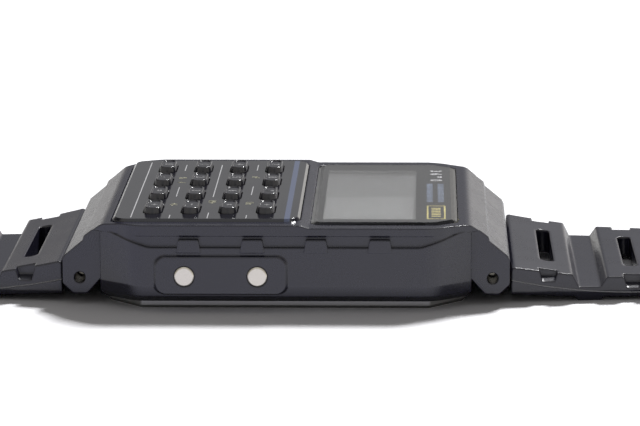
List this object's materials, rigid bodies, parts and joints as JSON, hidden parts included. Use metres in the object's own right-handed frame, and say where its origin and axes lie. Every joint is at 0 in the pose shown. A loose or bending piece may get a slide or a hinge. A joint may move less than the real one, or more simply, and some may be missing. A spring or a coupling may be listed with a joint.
{
  "type": "calculator wristwatch",
  "caption": "Resin digital wristwatch with a calculator keypad beside its display, two side pushers and a link-look strap with buckle, laid out flat.",
  "frame": {"origin": "middle of the case back's resting plane, under the centre of the case", "axes": "+X towards the 12 o'clock strap and buckle, +Y towards the 9 o'clock side (the pushers are on -Y), +Z out of the face"},
  "size_m": [0.246, 0.0345, 0.0093],
  "materials": {
    "case_resin": "satin moulded resin, near black",
    "strap_resin": "satin, flexible resin, near black",
    "key_plastic": "satin black",
    "panel_gloss": "glossy black with printed lines",
    "window": "clear, polished",
    "display_glass": "grey-green liquid crystal panel",
    "steel": "plain steel",
    "seal_rubber": "black",
    "mat_rubber": "translucent grey silicone",
    "board_laminate": "green laminate",
    "frame_plastic": "dark grey moulding",
    "chip_resin": "black sealing resin",
    "contact_brass": "plain sheet",
    "film": "amber film"
  },
  "bodies": {
    "case": {"case_body": "case_resin", "keypad_panel": "panel_gloss", "dial_plate": "panel_gloss", "display_lens": "window", "lcd_panel": "display_glass", "case_back": "steel", "case_back_screws": "steel", "spring_bar_tubes": "steel", "spring_bar_tips": "steel", "spring_bar_springs": "steel", "pusher_spring_adjust": "steel", "pusher_spring_mode": "steel", "module_cover": "steel", "module_screws": "steel", "battery": "steel", "battery_clip": "steel", "quartz_crystal": "steel", "buzzer_spring": "steel", "case_back_gasket": "seal_rubber", "lens_seal": "seal_rubber", "zebra_strips": "seal_rubber", "key_mat": "mat_rubber", "circuit_board": "board_laminate", "module_frame": "frame_plastic", "logic_chip": "chip_resin", "chip_components": "chip_resin", "piezo_disc": "contact_brass", "battery_contact": "contact_brass", "side_contacts": "contact_brass", "insulator_sheet": "film"},
    "key_7_cap": {"key_7": "key_plastic"},
    "key_8_cap": {"key_8": "key_plastic"},
    "key_9_cap": {"key_9": "key_plastic"},
    "key_divide_cap": {"key_divide": "key_plastic"},
    "key_4_cap": {"key_4": "key_plastic"},
    "key_5_cap": {"key_5": "key_plastic"},
    "key_6_cap": {"key_6": "key_plastic"},
    "key_times_cap": {"key_times": "key_plastic"},
    "key_1_cap": {"key_1": "key_plastic"},
    "key_2_cap": {"key_2": "key_plastic"},
    "key_3_cap": {"key_3": "key_plastic"},
    "key_minus_cap": {"key_minus": "key_plastic"},
    "key_0_cap": {"key_0": "key_plastic"},
    "key_point_cap": {"key_point": "key_plastic"},
    "key_equals_cap": {"key_equals": "key_plastic"},
    "key_plus_cap": {"key_plus": "key_plastic"},
    "adjust_pusher": {"pusher_adjust": "steel", "pusher_ring_adjust": "seal_rubber", "pusher_clip_adjust": "steel"},
    "mode_pusher": {"pusher_mode": "steel", "pusher_ring_mode": "seal_rubber", "pusher_clip_mode": "steel"},
    "strap_half_twelve": {"strap_twelve": "strap_resin", "buckle_bar": "steel"},
    "strap_half_six": {"strap_six": "strap_resin"},
    "buckle": {"buckle_frame": "steel"},
    "tongue": {"buckle_tongue": "steel"},
    "keeper": {"keeper_loop": "strap_resin"}
  },
  "joints": [
    {"name": "key_7_press", "type": "slide", "parent": "case", "child": "key_7_cap", "axis": [0, 0, -1], "range_m": [0, 0.00035], "stiffness_N_per_m": 400},
    {"name": "key_8_press", "type": "slide", "parent": "case", "child": "key_8_cap", "axis": [0, 0, -1], "range_m": [0, 0.00035], "stiffness_N_per_m": 400},
    {"name": "key_9_press", "type": "slide", "parent": "case", "child": "key_9_cap", "axis": [0, 0, -1], "range_m": [0, 0.00035], "stiffness_N_per_m": 400},
    {"name": "key_divide_press", "type": "slide", "parent": "case", "child": "key_divide_cap", "axis": [0, 0, -1], "range_m": [0, 0.00035], "stiffness_N_per_m": 400},
    {"name": "key_4_press", "type": "slide", "parent": "case", "child": "key_4_cap", "axis": [0, 0, -1], "range_m": [0, 0.00035], "stiffness_N_per_m": 400},
    {"name": "key_5_press", "type": "slide", "parent": "case", "child": "key_5_cap", "axis": [0, 0, -1], "range_m": [0, 0.00035], "stiffness_N_per_m": 400},
    {"name": "key_6_press", "type": "slide", "parent": "case", "child": "key_6_cap", "axis": [0, 0, -1], "range_m": [0, 0.00035], "stiffness_N_per_m": 400},
    {"name": "key_times_press", "type": "slide", "parent": "case", "child": "key_times_cap", "axis": [0, 0, -1], "range_m": [0, 0.00035], "stiffness_N_per_m": 400},
    {"name": "key_1_press", "type": "slide", "parent": "case", "child": "key_1_cap", "axis": [0, 0, -1], "range_m": [0, 0.00035], "stiffness_N_per_m": 400},
    {"name": "key_2_press", "type": "slide", "parent": "case", "child": "key_2_cap", "axis": [0, 0, -1], "range_m": [0, 0.00035], "stiffness_N_per_m": 400},
    {"name": "key_3_press", "type": "slide", "parent": "case", "child": "key_3_cap", "axis": [0, 0, -1], "range_m": [0, 0.00035], "stiffness_N_per_m": 400},
    {"name": "key_minus_press", "type": "slide", "parent": "case", "child": "key_minus_cap", "axis": [0, 0, -1], "range_m": [0, 0.00035], "stiffness_N_per_m": 400},
    {"name": "key_0_press", "type": "slide", "parent": "case", "child": "key_0_cap", "axis": [0, 0, -1], "range_m": [0, 0.00035], "stiffness_N_per_m": 400},
    {"name": "key_point_press", "type": "slide", "parent": "case", "child": "key_point_cap", "axis": [0, 0, -1], "range_m": [0, 0.00035], "stiffness_N_per_m": 400},
    {"name": "key_equals_press", "type": "slide", "parent": "case", "child": "key_equals_cap", "axis": [0, 0, -1], "range_m": [0, 0.00035], "stiffness_N_per_m": 400},
    {"name": "key_plus_press", "type": "slide", "parent": "case", "child": "key_plus_cap", "axis": [0, 0, -1], "range_m": [0, 0.00035], "stiffness_N_per_m": 400},
    {"name": "adjust_pusher_press", "type": "slide", "parent": "case", "child": "adjust_pusher", "axis": [0, 1, 0], "range_m": [0, 0.0005], "stiffness_N_per_m": 500, "deforming": ["pusher_spring_adjust"]},
    {"name": "mode_pusher_press", "type": "slide", "parent": "case", "child": "mode_pusher", "axis": [0, 1, 0], "range_m": [0, 0.0005], "stiffness_N_per_m": 500, "deforming": ["pusher_spring_mode"]},
    {"name": "strap_twelve_pivot", "type": "hinge", "parent": "case", "child": "strap_half_twelve", "pos_m": [0.01995, 0, 0.00265], "axis": [0, 1, 0], "range_deg": [-5, 60]},
    {"name": "strap_six_pivot", "type": "hinge", "parent": "case", "child": "strap_half_six", "pos_m": [-0.01995, 0, 0.00265], "axis": [0, 1, 0], "range_deg": [-60, 5]},
    {"name": "buckle_pivot", "type": "hinge", "parent": "strap_half_twelve", "child": "buckle", "pos_m": [0.09, 0, 0.0012], "axis": [0, 1, 0], "range_deg": [-45, 30]},
    {"name": "tongue_pivot", "type": "hinge", "parent": "buckle", "child": "tongue", "pos_m": [0.09, 0, 0.0012], "axis": [0, 1, 0], "range_deg": [-90, 0]},
    {"name": "keeper_slide", "type": "slide", "parent": "strap_half_twelve", "child": "keeper", "axis": [1, 0, 0], "range_m": [-0.003, 0.003]}
  ]
}
